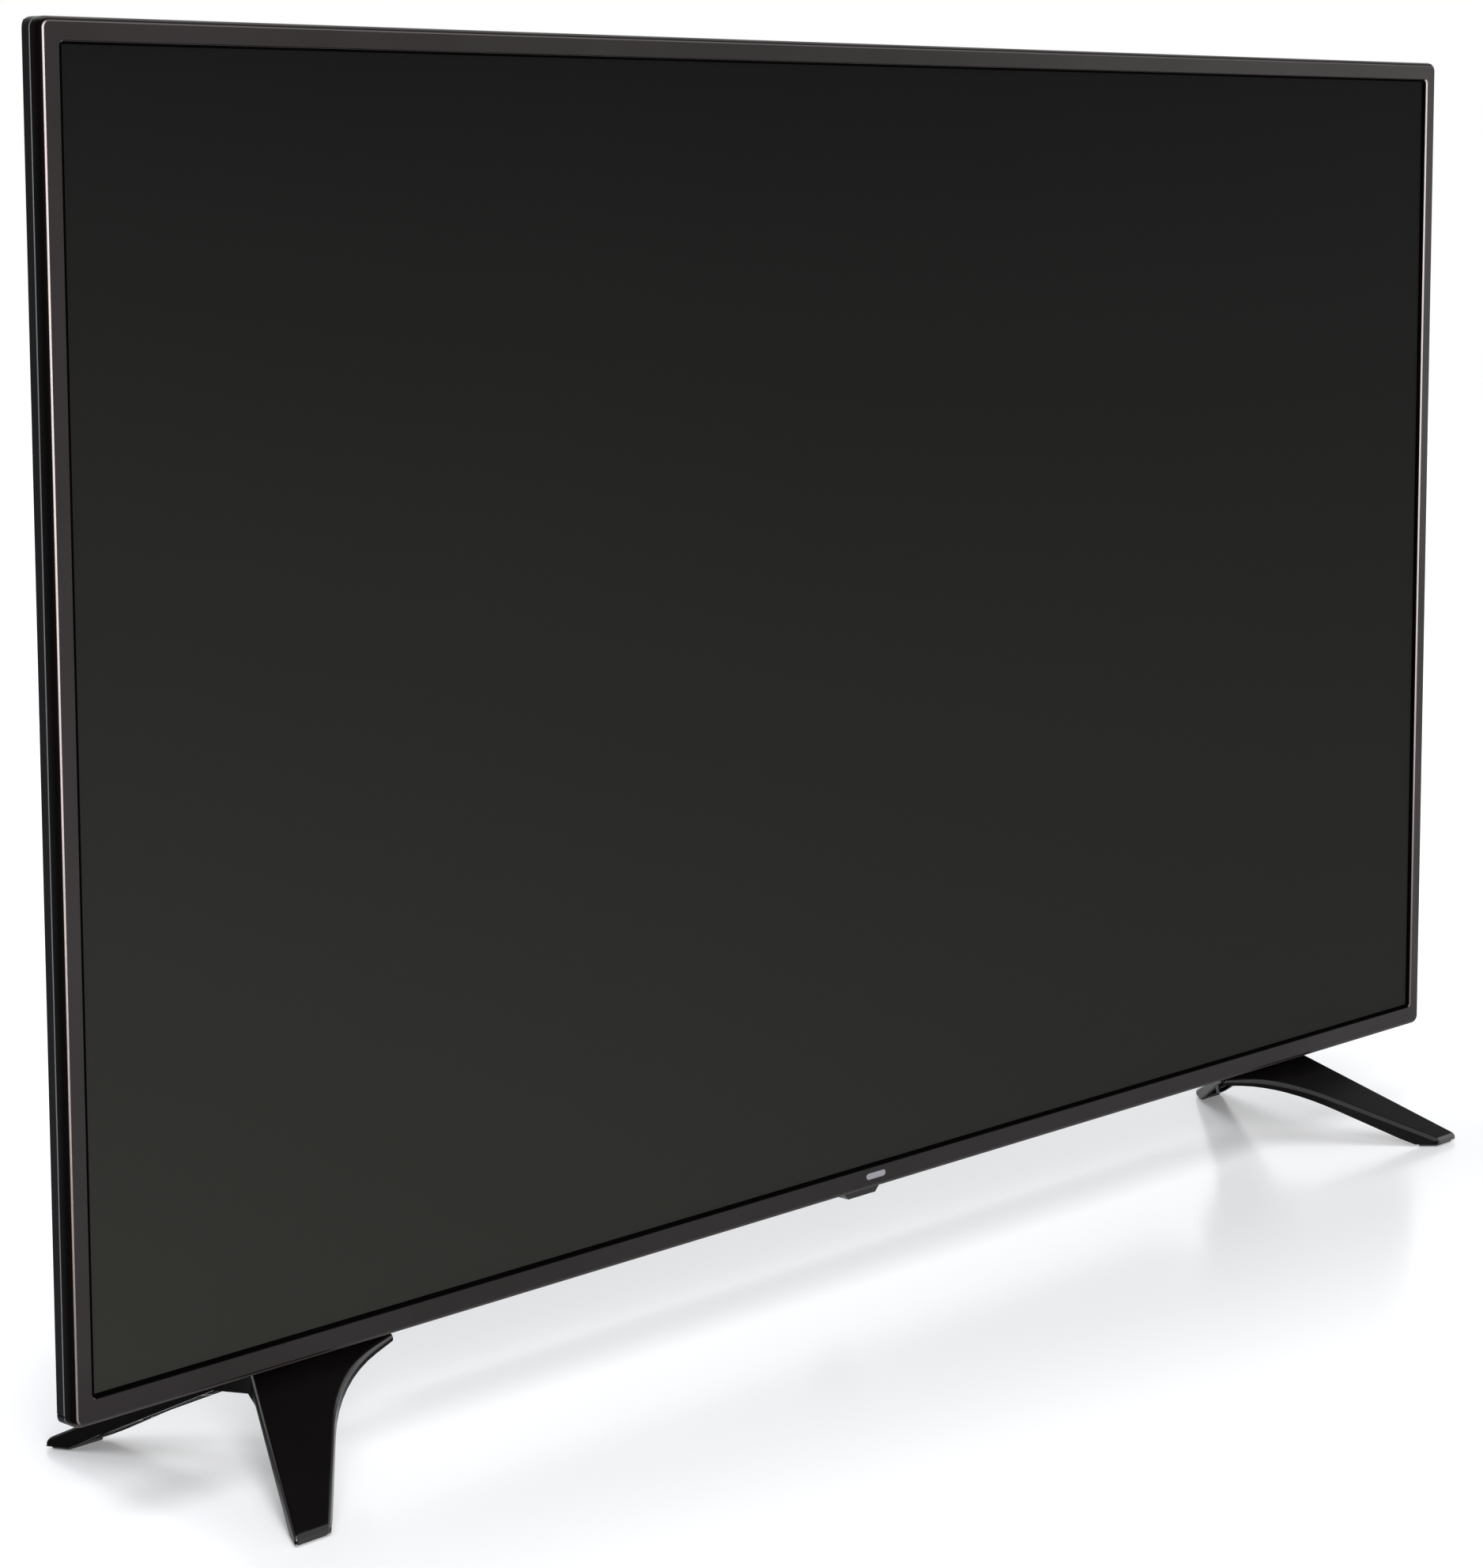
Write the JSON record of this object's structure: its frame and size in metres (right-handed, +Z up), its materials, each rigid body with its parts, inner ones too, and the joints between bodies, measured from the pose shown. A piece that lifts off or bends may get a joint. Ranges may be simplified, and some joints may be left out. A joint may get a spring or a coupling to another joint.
{
  "type": "flat screen television",
  "caption": "Flat screen television: thin dark bezel around a matte screen, stepped rear cover with ports and wall-mount holes, on splayed bent feet.",
  "frame": {"origin": "on the floor, under the centre of the overall box, midway between the feet", "axes": "+X to the right seen from the front, +Y from the screen towards the back, +Z up; the screen faces -Y"},
  "size_m": [1.1066, 0.194, 0.6968],
  "materials": {
    "bezel": "satin dark brown-grey moulded plastic",
    "badge": "plain satin silver plate",
    "foam": "black foam strip",
    "screen": "matte anti-glare screen, switched off",
    "film": "amber polyimide film",
    "circuit_green": "green solder mask",
    "circuit_blue": "blue solder mask",
    "circuit_tan": "tan phenolic board",
    "inner_plastic": "black moulded plastic",
    "optical_film": "milky optical plastic",
    "reflector": "white foamed sheet",
    "led_strip": "white solder mask",
    "lens": "clear moulded lens",
    "steel": "zinc-plated sheet steel",
    "dark_metal": "black anodised metal",
    "aluminium": "bare extruded aluminium",
    "chip": "moulded black resin",
    "port_metal": "nickel-plated shell",
    "brass": "plated jack",
    "ribbon": "white flat ribbon cable",
    "copper": "enamelled copper winding",
    "wire_red": "red wire bundle",
    "wire_dark": "black wire bundle",
    "screw_steel": "zinc-plated screw",
    "screw_black": "black screw",
    "cone": "coated paper cone",
    "tab": "smoked gloss plastic",
    "foot": "gloss black moulded plastic",
    "pad": "black rubber",
    "cover": "fine-textured black moulded plastic"
  },
  "bodies": {
    "television": {"front_bezel": "bezel", "front_badge": "badge", "panel_gasket": "foam", "lcd_panel": "screen", "panel_films": "film", "source_boards": "circuit_green", "guide_frame": "inner_plastic", "prism_sheet": "optical_film", "diffuser_sheet": "optical_film", "diffuser_plate": "optical_film", "diffuser_supports": "optical_film", "reflector_sheet": "reflector", "led_bars": "led_strip", "led_lenses": "lens", "rear_chassis": "steel", "mount_bosses": "steel", "cover_standoffs": "steel", "main_board": "circuit_blue", "main_heatsink": "dark_metal", "main_chips": "chip", "tuner_can": "steel", "video_ports": "port_metal", "data_port": "port_metal", "lan_port": "port_metal", "optical_port": "chip", "av_jack": "brass", "aerial_sockets": "port_metal", "timing_board": "circuit_green", "panel_ribbon": "ribbon", "source_ribbons": "ribbon", "power_board": "circuit_tan", "power_transformer": "chip", "power_capacitors": "chip", "power_heatsinks": "aluminium", "mains_choke": "copper", "ac_inlet": "inner_plastic", "power_harness": "wire_red", "led_harness": "wire_dark", "speaker_leads": "wire_dark", "radio_module": "circuit_green", "board_screws": "screw_steel", "speaker_boxes": "inner_plastic", "speaker_frames": "dark_metal", "speaker_magnets": "steel", "control_tab": "tab", "control_board": "circuit_green", "tact_switch": "chip", "stand_brackets": "steel", "foot_left": "foot", "foot_right": "foot", "foot_pads": "pad", "stand_screws": "screw_black", "rear_cover": "cover", "inlet_plate": "cover", "cover_screws": "screw_black"},
    "gimbal": {"joystick_gimbal": "inner_plastic"},
    "stem": {"joystick_stem": "inner_plastic"},
    "cap": {"joystick_cap": "tab"},
    "cone_left": {"speaker_cone_left": "cone"},
    "cone_right": {"speaker_cone_right": "cone"}
  },
  "joints": [
    {"name": "joystick_forward", "type": "hinge", "parent": "television", "child": "gimbal", "pos_m": [0, -0.00045, 0.0591], "axis": [1, 0, 0], "range_deg": [-6, 6], "stiffness_Nm_per_rad": 0.02},
    {"name": "joystick_sideways", "type": "hinge", "parent": "gimbal", "child": "stem", "pos_m": [0, -0.00045, 0.0591], "axis": [0, 1, 0], "range_deg": [-6, 6], "stiffness_Nm_per_rad": 0.02},
    {"name": "joystick_press", "type": "slide", "parent": "stem", "child": "cap", "axis": [0, 0, 1], "range_m": [0, 0.0008], "stiffness_N_per_m": 600, "springref_m": -0.0005},
    {"name": "speaker_cone_left_travel", "type": "slide", "parent": "television", "child": "cone_left", "axis": [0, 0, 1], "range_m": [-0.0008, 0.0008], "stiffness_N_per_m": 800},
    {"name": "speaker_cone_right_travel", "type": "slide", "parent": "television", "child": "cone_right", "axis": [0, 0, 1], "range_m": [-0.0008, 0.0008], "stiffness_N_per_m": 800}
  ]
}
